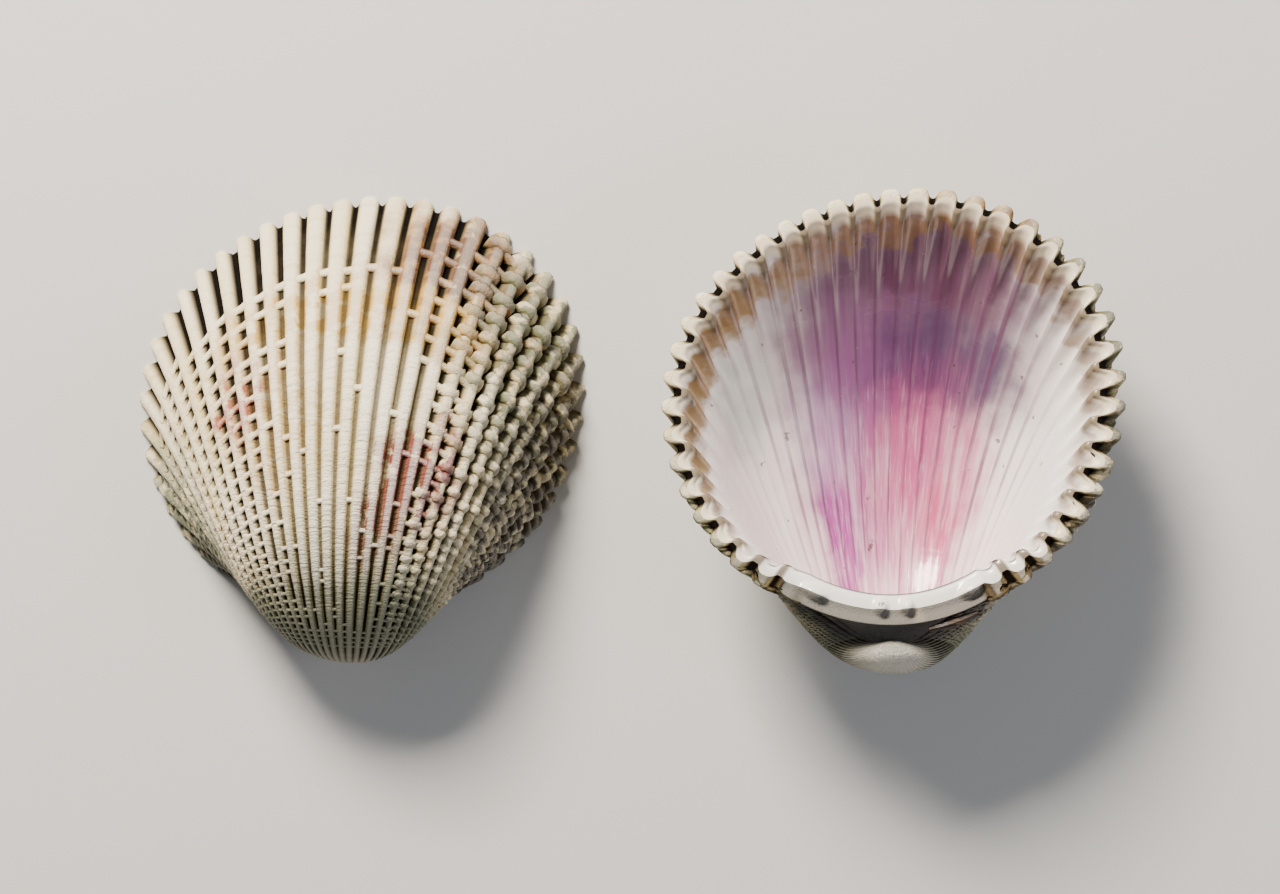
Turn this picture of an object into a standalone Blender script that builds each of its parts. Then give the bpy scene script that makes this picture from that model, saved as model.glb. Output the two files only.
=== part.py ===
"""A cockle: the two loose valves of one sea shell, and the strip of ligament left on one of them.

A valve is built the way it grows. Its margin is a nearly round, ribbed ring that passes just in front of
the beak. Every older ring is the same ring, smaller and turned further about the hinge line, so the wall
coils up over the dome and in under the beak. The hollow inside is the same coil from a smaller ring.

In a valve's own frame the margin lies in the plane z = 0 with the dome above it, the beak is near the
origin, +Y runs to the margin opposite the hinge and +X to the shell's rear end. Turns are in radians.
"""

import math

import bmesh
import bpy
from mathutils import Matrix, Vector

# The ring at the margin
RING_RADIUS = 0.02315  # to the floor of the grooves between ribs
OVAL = 0.030  # how much the ring is drawn out to both ends of one diagonal, as a share of its radius
CORNER = 0.021  # how much further it is drawn out to the rear lower corner
CORNER_HEADING = math.radians(47)
BEAK_TO_HINGE = 0.0014  # clear gap from the beak's axis to the back edge of the hinge plate
BEAK_LIFT = 0.0024  # height of the beak's axis over the margin plane

# Ribs
RIB_COUNT = 41
RIB_PITCH = math.radians(7.5)
RIB_HEIGHT = 0.0012
CREST_SHARE = 1 / 3  # share of the pitch taken by the flat top of a rib

# The coil: each ring is exp(-rate * turn) times the one at the margin
SHRINK_ACROSS = 0.70  # rate for the ring's width
SHRINK_ALONG = 0.80  # rate for its length from the beak's axis
SHRINK_HURRY = 0.07  # added to that rate for each radian turned, which blunts the beak
BEAK_TURN = 4.0  # turn at which the beak closes
POINT_TURN = 4.3  # turn at which its width would pinch out to a point
POINT_POWER = 5  # how late the pinch comes
DOME_RINGS = 15
DOME_SPACING = 1.25  # above 1 puts the rings closer together near the margin

# The wall and the hollow
WALL = 0.0016
HINGE_PLATE = 0.0034
WALL_SWELL = 0.7  # 0 thins the wall as the rings shrink, and 1 keeps it the same all the way up
HOLLOW_TURN = 2.35
HOLLOW_RINGS = 9
INNER_RIB_SHARE = 0.5
INNER_RIB_TURN = 0.15  # turn over which the ribs fade on the inner face

# The hinge plate and its teeth
HINGE_STEPS = 14
HINGE_RECESS = 0.0010
PLATE_START = math.radians(132)
PLATE_FULL = math.radians(152)
CARDINAL_TOOTH = math.radians(3.75)  # either side of the beak
LATERAL_TOOTH = math.radians(22.5)
TOOTH_REACH = math.radians(3)
RIM_STEPS = 3

# The strip of ligament behind the beak
LIGAMENT_START = math.radians(171)
LIGAMENT_END = math.radians(158)
LIGAMENT_POINTS = 9
LIGAMENT_RADIUS = 0.0005
LIGAMENT_GAP = 0.0003
LIGAMENT_HEIGHT = 0.0010  # of its middle line over the margin plane

# How the valves lie
VALVE_SPACING = 0.0585
RIGHT_TURN = math.radians(-2.5)
LEFT_LEAN = math.radians(8)  # the valve on its dome leans away from its heavy hinge

SHELL_COLOUR = (0.80, 0.73, 0.58, 1)
NACRE_COLOUR = (0.85, 0.72, 0.74, 1)
LIGAMENT_COLOUR = (0.13, 0.06, 0.025, 1)


def ring_radius(heading):
    """Radius of the margin to the groove floors. Heading 0 is opposite the hinge, and 90 degrees the rear."""
    away = heading - CORNER_HEADING
    return RING_RADIUS * (1 + OVAL * math.cos(2 * away) + CORNER * math.cos(3 * away))


RING_CENTRE = BEAK_TO_HINGE + ring_radius(math.pi)


def from_hinge(heading):
    """Angle between a heading and the hinge's, from 0 at the hinge to pi opposite it."""
    return abs(math.remainder(heading - math.pi, 2 * math.pi))


def columns():
    """(heading, rib height share) once round the ring: a groove and two crest edges for each rib, then the
    plain stretch along the hinge."""
    found = []
    for rib in range(RIB_COUNT):
        middle = (rib - (RIB_COUNT - 1) / 2) * RIB_PITCH
        found.append((middle - RIB_PITCH / 2, 0))
        found.append((middle - RIB_PITCH * CREST_SHARE / 2, 1))
        found.append((middle + RIB_PITCH * CREST_SHARE / 2, 1))
    start = RIB_COUNT * RIB_PITCH / 2
    span = 2 * math.pi - RIB_COUNT * RIB_PITCH
    found += [(start + span * i / HINGE_STEPS, 0) for i in range(HINGE_STEPS)]
    return found


def coiled(across, along, height, turn):
    """A point of the margin's ring, carried back along the coil to the ring at this turn."""
    wide = math.exp(-SHRINK_ACROSS * turn) * (1 - (turn / POINT_TURN) ** POINT_POWER)
    long = math.exp(-(SHRINK_ALONG + SHRINK_HURRY * turn) * turn)
    rise = height - BEAK_LIFT
    return Vector((
        across * wide,
        (along * math.cos(turn) - rise * math.sin(turn)) * long,
        (along * math.sin(turn) + rise * math.cos(turn)) * long + BEAK_LIFT,
    ))


def plate_share(heading):
    """0 on the thin margin, rising smoothly to 1 on the hinge plate."""
    near = math.pi - from_hinge(heading)
    share = min(1, max(0, (near - PLATE_START) / (PLATE_FULL - PLATE_START)))
    return share * share * (3 - 2 * share)


def wall_depth(heading):
    return WALL + (HINGE_PLATE - WALL) * plate_share(heading)


def ring_point(heading, rib, inset, turn, height=0.0):
    radius = ring_radius(heading) + rib * RIB_HEIGHT - inset
    return coiled(
        radius * math.sin(heading),
        RING_CENTRE + radius * math.cos(heading),
        height,
        turn,
    )


def dome_rings():
    """Rings of the outer face, from the beak down to the margin."""
    turns = [BEAK_TURN * (i / DOME_RINGS) ** DOME_SPACING for i in range(DOME_RINGS, -1, -1)]
    return [[ring_point(heading, rib, 0, turn) for heading, rib in columns()] for turn in turns]


def tooth(heading):
    """1 where a hinge tooth stands, and 0 on the plate between."""
    away = from_hinge(heading)
    return any(abs(away - place) < TOOTH_REACH for place in (CARDINAL_TOOTH, LATERAL_TOOTH))


def rim_rings():
    """Rings across the flat margin, and across the sunken hinge plate with its teeth up to the margin plane."""
    rings = []
    for step in range(1, RIM_STEPS + 1):
        share = step / RIM_STEPS
        rib_share = 1 + (INNER_RIB_SHARE - 1) * share
        ring = []
        for heading, rib in columns():
            standing = step == 1 and tooth(heading)
            sunk = 0 if standing else HINGE_RECESS * plate_share(heading)
            ring.append(ring_point(heading, rib * rib_share, wall_depth(heading) * share, 0, sunk))
        rings.append(ring)
    return rings


def hollow_rings():
    """Rings of the inner face, from just inside the margin up to the end of the hollow under the beak."""
    rings = []
    for step in range(1, HOLLOW_RINGS + 1):
        turn = HOLLOW_TURN * (step / HOLLOW_RINGS) ** DOME_SPACING
        swell = math.exp(SHRINK_ALONG * WALL_SWELL * turn)
        ribs_left = INNER_RIB_SHARE * math.exp(-turn / INNER_RIB_TURN)
        ring = []
        for heading, rib in columns():
            sunk = HINGE_RECESS * plate_share(heading)
            inset = wall_depth(heading) * swell
            ring.append(ring_point(heading, rib * ribs_left, inset, turn, sunk))
        rings.append(ring)
    return rings


def loft(rings):
    """One closed mesh through a list of rings, with a fan of triangles at each end."""
    mesh = bmesh.new()
    made = [[mesh.verts.new(point) for point in ring] for ring in rings]
    count = len(made[0])
    for here, there in zip(made, made[1:]):
        for i in range(count):
            j = (i + 1) % count
            mesh.faces.new((here[i], here[j], there[j], there[i]))
    for ring in (made[0], made[-1]):
        middle = mesh.verts.new(sum((vertex.co for vertex in ring), Vector()) / count)
        for i in range(count):
            mesh.faces.new((middle, ring[i], ring[(i + 1) % count]))
    bmesh.ops.recalc_face_normals(mesh, faces=mesh.faces)
    bmesh.ops.triangulate(mesh, faces=mesh.faces)
    return mesh


def material(name, colour, roughness):
    made = bpy.data.materials.new(name)
    made.use_nodes = True
    shader = made.node_tree.nodes["Principled BSDF"]
    shader.inputs["Base Color"].default_value = colour
    shader.inputs["Roughness"].default_value = roughness
    shader.inputs["Metallic"].default_value = 0
    return made


def laid_on_dome():
    """Turns a valve over into the other hand's, lying on its dome and leaning."""
    return Matrix.Rotation(-LEFT_LEAN, 4, "X") @ Matrix.Diagonal((1, 1, -1, 1))


def add_valve(name, placing, colour, collection):
    """A valve, placed so that it stands on z = 0 with the middle of its ring at x = y = 0."""
    shape = loft(dome_rings() + rim_rings() + hollow_rings())
    centred = Matrix.Translation((0, -RING_CENTRE, 0))
    bmesh.ops.transform(shape, matrix=placing @ centred, verts=shape.verts)
    bmesh.ops.recalc_face_normals(shape, faces=shape.faces)
    mesh = bpy.data.meshes.new(name)
    shape.to_mesh(mesh)
    shape.free()
    mesh.shade_smooth()
    mesh.set_sharp_from_angle(angle=math.radians(40))
    mesh.materials.append(material(name, colour, 0.5))
    valve = bpy.data.objects.new(name, mesh)
    collection.objects.link(valve)
    valve.location.z = -box([valve])[0].z
    return valve


def add_ligament(name, valve, placing, collection):
    """The strip along the back edge of this valve's hinge plate."""
    path = bpy.data.curves.new(name, "CURVE")
    path.dimensions = "3D"
    path.bevel_depth = LIGAMENT_RADIUS
    path.bevel_resolution = 2
    path.use_fill_caps = True
    spline = path.splines.new("POLY")
    spline.points.add(LIGAMENT_POINTS - 1)
    outside = -(LIGAMENT_RADIUS + LIGAMENT_GAP)
    for i, point in enumerate(spline.points):
        share = i / (LIGAMENT_POINTS - 1)
        heading = LIGAMENT_START + (LIGAMENT_END - LIGAMENT_START) * share
        place = ring_point(heading, 0, outside, 0, LIGAMENT_HEIGHT) - Vector((0, RING_CENTRE, 0))
        point.co = (*(placing @ place), 1)
        point.radius = 0.55 + 0.45 * math.sin(math.pi * share)
    path.materials.append(material(name, LIGAMENT_COLOUR, 0.6))
    ligament = bpy.data.objects.new(name, path)
    collection.objects.link(ligament)
    ligament.location = valve.location
    return ligament


def box(objects):
    """Lowest and highest corner of these objects' meshes."""
    bpy.context.view_layer.update()
    corners = [o.matrix_world @ Vector(corner) for o in objects for corner in o.bound_box]
    low = Vector([min(corner[axis] for corner in corners) for axis in range(3)])
    high = Vector([max(corner[axis] for corner in corners) for axis in range(3)])
    return low, high


def build():
    for old in list(bpy.data.objects):
        bpy.data.objects.remove(old)
    collection = bpy.data.collections.new("cockle_shell")
    bpy.context.scene.collection.children.link(collection)

    right = add_valve("right_valve", Matrix.Rotation(RIGHT_TURN, 4, "Z"), SHELL_COLOUR, collection)
    left = add_valve("left_valve", laid_on_dome(), NACRE_COLOUR, collection)
    left.location.x = VALVE_SPACING
    ligament = add_ligament("ligament", left, laid_on_dome(), collection)

    low, high = box([right, left, ligament])
    middle = (low + high) / 2
    for piece in (right, left, ligament):
        piece.location -= Vector((middle.x, middle.y, low.z))


build()
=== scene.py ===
"""A cockle shell: its right valve lying dome up, and its left valve lying on its dome, hollow up.

A valve follows one rule. Its margin is a ribbed ring, and every older ring is the same ring, smaller and
turned further about the hinge line. A point of the wall is therefore named by its heading round the ring
(0 opposite the hinge, a quarter turn at the shell's rear end) and by its turn back along the coil (0 at the
margin). Lengths are in metres and turns in radians.
"""

import math

import bmesh
import bpy
from mathutils import Matrix, Vector


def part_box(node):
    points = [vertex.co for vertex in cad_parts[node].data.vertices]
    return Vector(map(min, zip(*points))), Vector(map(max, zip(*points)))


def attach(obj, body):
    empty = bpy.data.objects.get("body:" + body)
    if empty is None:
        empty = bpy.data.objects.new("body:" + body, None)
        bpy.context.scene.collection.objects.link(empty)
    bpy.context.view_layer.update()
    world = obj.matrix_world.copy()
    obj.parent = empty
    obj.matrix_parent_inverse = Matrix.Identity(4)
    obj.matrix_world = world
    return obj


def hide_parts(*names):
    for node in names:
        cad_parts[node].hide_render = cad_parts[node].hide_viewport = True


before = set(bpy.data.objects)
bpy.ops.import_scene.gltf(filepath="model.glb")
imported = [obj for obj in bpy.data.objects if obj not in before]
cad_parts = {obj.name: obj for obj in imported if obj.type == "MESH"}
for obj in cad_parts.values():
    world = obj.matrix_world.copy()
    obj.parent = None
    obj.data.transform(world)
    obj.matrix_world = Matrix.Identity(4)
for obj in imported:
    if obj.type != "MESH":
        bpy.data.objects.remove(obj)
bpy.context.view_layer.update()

MM = 0.001

# The coil, as the solids have it
COIL = {
    "Ring radius": 23.15 * MM,
    "Oval": 0.030,
    "Corner": 0.021,
    "Corner heading": math.radians(47),
    "Beak gap": 1.4 * MM,
    "Beak lift": 2.4 * MM,
    "Shrink across": 0.70,
    "Shrink along": 0.80,
    "Shrink hurry": 0.07,
    "Point turn": 4.3,
}
POINT_POWER = 5
RIB_PITCH = math.radians(7.5)
RIB_COUNT = 41

# How the two valves lie
RIGHT_TURN = math.radians(-2.5)
LEFT_LEAN = math.radians(8)

# The valve's wall
VALVE = {
    "Columns": 480,
    "Beak turn": 4.0,
    "Hollow turn": 2.35,
    "Rib height": 2.1 * MM,
    "Wall": 1.6 * MM,
    "Hinge plate": 3.4 * MM,
    "Hinge recess": 1.0 * MM,
    "Tooth height": 1.1 * MM,
    "Margin round": 0.35 * MM,
    "Growth waves": 0.20 * MM,
}

# Rows of the wall: over the dome, across the margin and up into the hollow. Both eases crowd them
# towards the margin, and the cap rows close the two ends of the tube.
DOME_ROWS = 128
RIM_ROWS = 10
HOLLOW_ROWS = 44
ROWS = DOME_ROWS + RIM_ROWS + HOLLOW_ROWS
DOME_END = DOME_ROWS / ROWS
RIM_END = (DOME_ROWS + RIM_ROWS) / ROWS
DOME_EASE = 1.6
HOLLOW_EASE = 1.5
BEAK_CAP_ROWS = 4
HOLLOW_CAP_ROWS = 7
CAP_SHARE = 0.999

# Headings where the hinge plate begins and where it has its full width, and how the wall swells with turn
PLATE_BEGINS = math.radians(132)
PLATE_WHOLE = math.radians(152)
WALL_SWELL = 0.7

# Flutes inside the margin: how tall beside the ribs there, how far in turn they reach, and what is left
FLUTE_SHARE = 0.80
FLUTE_REACH = 0.26
FLUTE_LEFT = 0.04

# Teeth on the hinge plate: heading and half width in degrees, row across the plate, and reach of the row
HINGE_TEETH = (
    (176.3, 2.6, 0.55, 0.38),
    (157, 5.5, 0.5, 0.3),
)

# A rib's height from its crest (0) to the middle of the groove (1)
RIB_SECTION = ((0, 1), (0.34, 0.97), (0.6, 0.78), (0.78, 0.28), (0.9, 0.04), (1, 0))

# What changes round the ring, from the hinge (0) past the front end, the point opposite the hinge (0.5)
# and the rear end to the hinge again (1): how narrow the ribs are, how tall they stand, and the turn at
# which their scales begin
RIB_KEENNESS = ((0, 0.7), (0.2, 0.95), (0.36, 0.92), (0.43, 0.5), (0.5, 0.3), (0.57, 0.45), (0.66, 0.9),
                (0.85, 0.9), (1, 0.6))
RIB_SHARE = ((0, 0), (0.065, 0), (0.10, 0.35), (0.17, 0.55), (0.3, 0.62), (0.42, 0.56), (0.5, 0.52),
             (0.6, 0.68), (0.68, 1.0), (0.8, 0.98), (0.87, 0.6), (0.92, 0.3), (0.935, 0), (1, 0))
FIRST_SCALE = ((0, 0.02), (0.16, 0.03), (0.25, 0.12), (0.45, 0.16), (0.54, 0.12), (0.62, 0.02), (1, 0.02))

# Each rib has its own share of keenness, between these
KEENEST_RIB = 1.3
WIDEST_RIB = 0.78

# One kind of scale on the ribs. Beside moves it from the ribs (0) to the grooves (0.5).
SCALES = {
    "Shape": None,
    "From heading": 0.0,
    "To heading": 0.0,
    "Beside": 0.0,
    "Steps": 31,
    "Growth step": 0.057,
    "First step": 0.03,
    "Uneven": 0.12,
    "Rib height": VALVE["Rib height"],
    "Seed": 7,
}

# A scale keeps a random share of its height: at least this less its unevenness, and at most 1
LEAST_HEIGHT = 1.05

# The worn top of the dome: its middle and reach (heading, turn), and the share of scales left there
WORN_TOP = (-0.05, 0.85, 0)
WORN_REACH = (0.70, 0.82, 1)
WORN_LEFT = 0.10
WORN_SEED = 3

# A small step in heading or in turn, to find which way the surface runs
NUDGE = 0.01

# Where a scale's section is cut across it, in pitches; how deep its foot is sunk and how far its top is
# rounded off, in rib heights
ACROSS = (-0.5, -0.42, -0.34, -0.24, -0.12, 0, 0.12, 0.24, 0.34, 0.42, 0.5)
FOOT_SUNK = 0.35
TOP_ROUND = 0.16


def plug(tree, socket, feed):
    """Feeds a socket with a value, from another socket, or from a node's first output."""
    if isinstance(feed, bpy.types.Node):
        feed = next(out for out in feed.outputs if out.enabled)
    if isinstance(feed, bpy.types.NodeSocket):
        tree.links.new(feed, socket)
    elif feed is not None:
        socket.default_value = feed


def node(tree, kind, inputs=(), **settings):
    """Adds a node, with its settings, and feeds its inputs in order or by name."""
    made = tree.nodes.new(kind)
    for name, value in settings.items():
        setattr(made, name, value)
    if isinstance(inputs, dict):
        pairs = [(made.inputs[name], feed) for name, feed in inputs.items()]
    else:
        pairs = zip([socket for socket in made.inputs if socket.enabled], inputs)
    for socket, feed in pairs:
        plug(tree, socket, feed)
    return made


def new_tree(name, sizes, outputs):
    """An empty tree of geometry nodes with these named inputs and outputs, and its two end nodes."""
    tree = bpy.data.node_groups.new(name, "GeometryNodeTree")
    kinds = {int: "NodeSocketInt", float: "NodeSocketFloat", type(None): "NodeSocketObject"}
    for label, value in sizes.items():
        socket = tree.interface.new_socket(label, in_out="INPUT", socket_type=kinds[type(value)])
        socket.default_value = value
    for label, kind in outputs.items():
        tree.interface.new_socket(label, in_out="OUTPUT", socket_type=kind)
    return tree, node(tree, "NodeGroupInput").outputs, node(tree, "NodeGroupOutput")


def shaped(curve_node, points):
    """Gives a curve node its points, each (in, out) from 0 to 1."""
    curve = curve_node.mapping.curves[0]
    while len(curve.points) < len(points):
        curve.points.new(0.5, 0.5)
    for point, place in zip(curve.points, points):
        point.location = place
    curve_node.mapping.update()
    return curve_node


def by_heading(tree, heading, points):
    """A value that changes round the ring, by points whose first number runs from hinge to hinge."""
    around = node(tree, "ShaderNodeMath", [heading, 1 / math.tau, 0.5], operation="MULTIPLY_ADD")
    return shaped(node(tree, "ShaderNodeFloatCurve", {"Value": around}), points)


def direction(tree, heading):
    """The heading as a direction, which has no jump at the hinge."""
    return node(tree, "ShaderNodeCombineXYZ", [
        node(tree, "ShaderNodeMath", [heading], operation="SINE"),
        node(tree, "ShaderNodeMath", [heading], operation="COSINE"),
    ])


def coil_group():
    """The shell's rule: the point at a heading and a turn, an inset into the ring and a height above it."""
    sizes = {"Heading": 0.0, "Turn": 0.0, "Inset": 0.0, "Height": 0.0, "Girth": 1.0, **COIL}
    tree, given, out = new_tree("Coil point", sizes, {"Point": "NodeSocketVector"})
    away = node(tree, "ShaderNodeMath", [given["Heading"], given["Corner heading"]], operation="SUBTRACT")
    reach = 1.0
    for lobes, share in ((2, "Oval"), (3, "Corner")):
        angle = node(tree, "ShaderNodeMath", [away, lobes], operation="MULTIPLY")
        wave = node(tree, "ShaderNodeMath", [angle], operation="COSINE")
        reach = node(tree, "ShaderNodeMath", [wave, given[share], reach], operation="MULTIPLY_ADD")
    full = node(tree, "ShaderNodeMath", [reach, given["Ring radius"]], operation="MULTIPLY")
    shrunk = node(tree, "ShaderNodeMath", [full, given["Inset"]], operation="SUBTRACT")
    radius = node(tree, "ShaderNodeMath", [shrunk, given["Girth"]], operation="MULTIPLY")
    sine = node(tree, "ShaderNodeMath", [given["Heading"]], operation="SINE")
    cosine = node(tree, "ShaderNodeMath", [given["Heading"]], operation="COSINE")
    across = node(tree, "ShaderNodeMath", [radius, sine], operation="MULTIPLY")
    hinge = node(tree, "ShaderNodeMath", [given["Ring radius"], ring_share(math.pi), given["Beak gap"]],
                 operation="MULTIPLY_ADD")
    along = node(tree, "ShaderNodeMath", [radius, cosine, hinge], operation="MULTIPLY_ADD")
    rise = node(tree, "ShaderNodeMath", [given["Height"], given["Beak lift"]], operation="SUBTRACT")
    flat = node(tree, "ShaderNodeCombineXYZ", [across, along, rise])
    turned = node(tree, "ShaderNodeVectorRotate", {"Vector": flat, "Angle": given["Turn"]},
                  rotation_type="X_AXIS")
    shrinking = []
    for rate, hurry in ((given["Shrink across"], 0.0), (given["Shrink along"], given["Shrink hurry"])):
        pace = node(tree, "ShaderNodeMath", [hurry, given["Turn"], rate], operation="MULTIPLY_ADD")
        power = node(tree, "ShaderNodeMath", [pace, given["Turn"]], operation="MULTIPLY")
        falling = node(tree, "ShaderNodeMath", [power, -1], operation="MULTIPLY")
        shrinking.append(node(tree, "ShaderNodeMath", [falling], operation="EXPONENT"))
    wide, long = shrinking
    near_point = node(tree, "ShaderNodeMath", [given["Turn"], given["Point turn"]], operation="DIVIDE")
    pinch = node(tree, "ShaderNodeMath", [near_point, POINT_POWER], operation="POWER")
    point_left = node(tree, "ShaderNodeMath", [1, pinch], operation="SUBTRACT")
    wide = node(tree, "ShaderNodeMath", [wide, point_left], operation="MULTIPLY")
    size = node(tree, "ShaderNodeCombineXYZ", [wide, long, long])
    axis = node(tree, "ShaderNodeCombineXYZ", {"Z": given["Beak lift"]})
    point = node(tree, "ShaderNodeVectorMath", [turned, size, axis], operation="MULTIPLY_ADD")
    plug(tree, out.inputs["Point"], point)
    return tree


def ring_share(heading):
    """The margin's radius at a heading, as a share of the ring's."""
    away = heading - COIL["Corner heading"]
    return 1 + COIL["Oval"] * math.cos(2 * away) + COIL["Corner"] * math.cos(3 * away)


def rib_relief(tree, heading, turn):
    """How high ribs stand, from 0 in a groove to 1 on the tallest crest, and a mask, 0 deep in a groove."""
    ribs = node(tree, "ShaderNodeMath", [heading, RIB_PITCH], operation="DIVIDE")
    off_crest = node(tree, "ShaderNodeMath", [ribs, 0.5], operation="PINGPONG")
    doubled = node(tree, "ShaderNodeMath", [off_crest, 2], operation="MULTIPLY")
    section = shaped(node(tree, "ShaderNodeFloatCurve", {"Value": doubled}), RIB_SECTION)
    keenness = by_heading(tree, heading, RIB_KEENNESS)
    at_margin = node(tree, "ShaderNodeMapRange", [turn, 0, 0.15, 4.0, 3.4], interpolation_type="SMOOTHSTEP")
    power = node(tree, "ShaderNodeMath", [keenness, at_margin], operation="MULTIPLY")
    number = node(tree, "ShaderNodeMath", [ribs], operation="ROUND")
    luck = node(tree, "ShaderNodeTexWhiteNoise", {"W": number}, noise_dimensions="1D").outputs["Value"]
    own = node(tree, "ShaderNodeMapRange", [luck, 0, 1, WIDEST_RIB, KEENEST_RIB])
    own_power = node(tree, "ShaderNodeMath", [power, own], operation="MULTIPLY")
    keen = node(tree, "ShaderNodeMath", [section, own_power], operation="POWER")
    share = by_heading(tree, heading, RIB_SHARE)
    left = node(tree, "ShaderNodeMath", [share, unworn(tree, turn)], operation="MULTIPLY")
    groove = node(tree, "ShaderNodeMath", [1, keen], operation="SUBTRACT")
    telling = node(tree, "ShaderNodeMath", [left, 3.5], operation="MULTIPLY", use_clamp=True)
    depth = node(tree, "ShaderNodeMath", [groove, telling], operation="MULTIPLY")
    crest = node(tree, "ShaderNodeMath", [1, depth], operation="SUBTRACT")
    return node(tree, "ShaderNodeMath", [keen, left], operation="MULTIPLY"), crest


def unworn(tree, turn):
    """What wear has left of the ribs: all of them over the young shell, and little on the old umbo."""
    return node(tree, "ShaderNodeMapRange", [turn, 0.9, 2.6, 1, 0.12], interpolation_type="SMOOTHSTEP")


def valve_tree(coil, outside, inside):
    """One closed wall: from the beak over the dome to the margin, across it, and up into the hollow."""
    tree, given, out = new_tree("Cockle valve", VALVE, {"Valve": "NodeSocketGeometry"})
    rail = node(tree, "GeometryNodeCurvePrimitiveLine", {"End": (0, 0, 1)})
    steps = node(tree, "GeometryNodeResampleCurve", {"Curve": rail, "Count": ROWS + 1})
    loop = node(tree, "GeometryNodeCurvePrimitiveCircle", {"Resolution": given["Columns"], "Radius": 1})
    tube = node(tree, "GeometryNodeCurveToMesh",
                {"Curve": steps, "Profile Curve": loop.outputs["Curve"], "Fill Caps": True})

    place = node(tree, "ShaderNodeSeparateXYZ", [node(tree, "GeometryNodeInputPosition")])
    heading = node(tree, "ShaderNodeMath", [place.outputs["X"], place.outputs["Y"]], operation="ARCTAN2")
    beside_hinge = node(tree, "ShaderNodeMath", [heading], operation="ABSOLUTE")
    row = place.outputs["Z"]

    back = node(tree, "ShaderNodeMapRange", [row, 0, DOME_END, 1, 0])
    back_eased = node(tree, "ShaderNodeMath", [back, DOME_EASE], operation="POWER")
    dome_turn = node(tree, "ShaderNodeMath", [back_eased, given["Beak turn"]], operation="MULTIPLY")
    up = node(tree, "ShaderNodeMapRange", [row, RIM_END, 1, 0, 1])
    up_eased = node(tree, "ShaderNodeMath", [up, HOLLOW_EASE], operation="POWER")
    turn = node(tree, "ShaderNodeMath", [up_eased, given["Hollow turn"], dome_turn],
                operation="MULTIPLY_ADD")
    inner = node(tree, "ShaderNodeMapRange", [row, DOME_END, RIM_END, 0, 1])

    # Both ends of the tube close in a round cap.
    beak_end = node(tree, "ShaderNodeMapRange", [row, 0, BEAK_CAP_ROWS / ROWS, CAP_SHARE, 0])
    hollow_end = node(tree, "ShaderNodeMapRange", [row, 1 - HOLLOW_CAP_ROWS / ROWS, 1, 0, CAP_SHARE])
    ends = node(tree, "ShaderNodeMath", [beak_end, hollow_end], operation="ADD")
    square = node(tree, "ShaderNodeMath", [ends, ends], operation="MULTIPLY")
    left_over = node(tree, "ShaderNodeMath", [1, square], operation="SUBTRACT")
    girth = node(tree, "ShaderNodeMath", [left_over], operation="SQRT")

    # The wall is thin at the margin and thick on the hinge plate, and stays thick up to the crown.
    plate = node(tree, "ShaderNodeMapRange", [beside_hinge, PLATE_BEGINS, PLATE_WHOLE, 0, 1],
                 interpolation_type="SMOOTHSTEP")
    extra = node(tree, "ShaderNodeMath", [given["Hinge plate"], given["Wall"]], operation="SUBTRACT")
    wall = node(tree, "ShaderNodeMath", [plate, extra, given["Wall"]], operation="MULTIPLY_ADD")
    swell_power = node(tree, "ShaderNodeMath", [turn, WALL_SWELL * COIL["Shrink along"]],
                       operation="MULTIPLY")
    swell = node(tree, "ShaderNodeMath", [swell_power], operation="EXPONENT")
    swollen = node(tree, "ShaderNodeMath", [wall, swell], operation="MULTIPLY")
    wall_inset = node(tree, "ShaderNodeMath", [swollen, inner], operation="MULTIPLY")

    # Ribs stand out of the dome, and show inside as flutes that fade a few millimetres from the margin.
    relief, crest = rib_relief(tree, heading, turn)
    standing = node(tree, "ShaderNodeMath", [relief, given["Rib height"]], operation="MULTIPLY")
    flutes = node(tree, "ShaderNodeMapRange", [turn, 0, FLUTE_REACH, FLUTE_SHARE, FLUTE_LEFT],
                  interpolation_type="SMOOTHERSTEP")
    strength = node(tree, "ShaderNodeMix", [inner, 1.0, flutes])
    rib_inset = node(tree, "ShaderNodeMath", [standing, strength], operation="MULTIPLY")
    inset = node(tree, "ShaderNodeMath", [wall_inset, rib_inset], operation="SUBTRACT")

    # The margin's edge is rounded, and the hinge plate is sunk with its teeth standing up out of it.
    edge = node(tree, "ShaderNodeMath", [inner, 2, -1], operation="MULTIPLY_ADD")
    edge_even = node(tree, "ShaderNodeMath", [edge, 4], operation="POWER")
    at_rim = node(tree, "ShaderNodeMapRange", [turn, 0, 0.02, 1, 0])
    rounding = node(tree, "ShaderNodeMath", [edge_even, given["Margin round"]], operation="MULTIPLY")
    round_rise = node(tree, "ShaderNodeMath", [rounding, at_rim], operation="MULTIPLY")
    on_plate = node(tree, "ShaderNodeMapRange", [inner, 0, 0.3, 0, 1], interpolation_type="SMOOTHSTEP")
    sunk = node(tree, "ShaderNodeMath", [plate, given["Hinge recess"]], operation="MULTIPLY")
    sunk_plate = node(tree, "ShaderNodeMath", [sunk, on_plate, round_rise], operation="MULTIPLY_ADD")
    teeth = hinge_teeth(tree, beside_hinge, inner)
    tooth_depth = node(tree, "ShaderNodeMath", [teeth, given["Tooth height"]], operation="MULTIPLY")
    height = node(tree, "ShaderNodeMath", [sunk_plate, tooth_depth], operation="SUBTRACT")

    spot = node(tree, "GeometryNodeGroup", node_tree=coil)
    for label, feed in (("Heading", heading), ("Turn", turn), ("Inset", inset), ("Height", height),
                        ("Girth", girth)):
        plug(tree, spot.inputs[label], feed)

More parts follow.
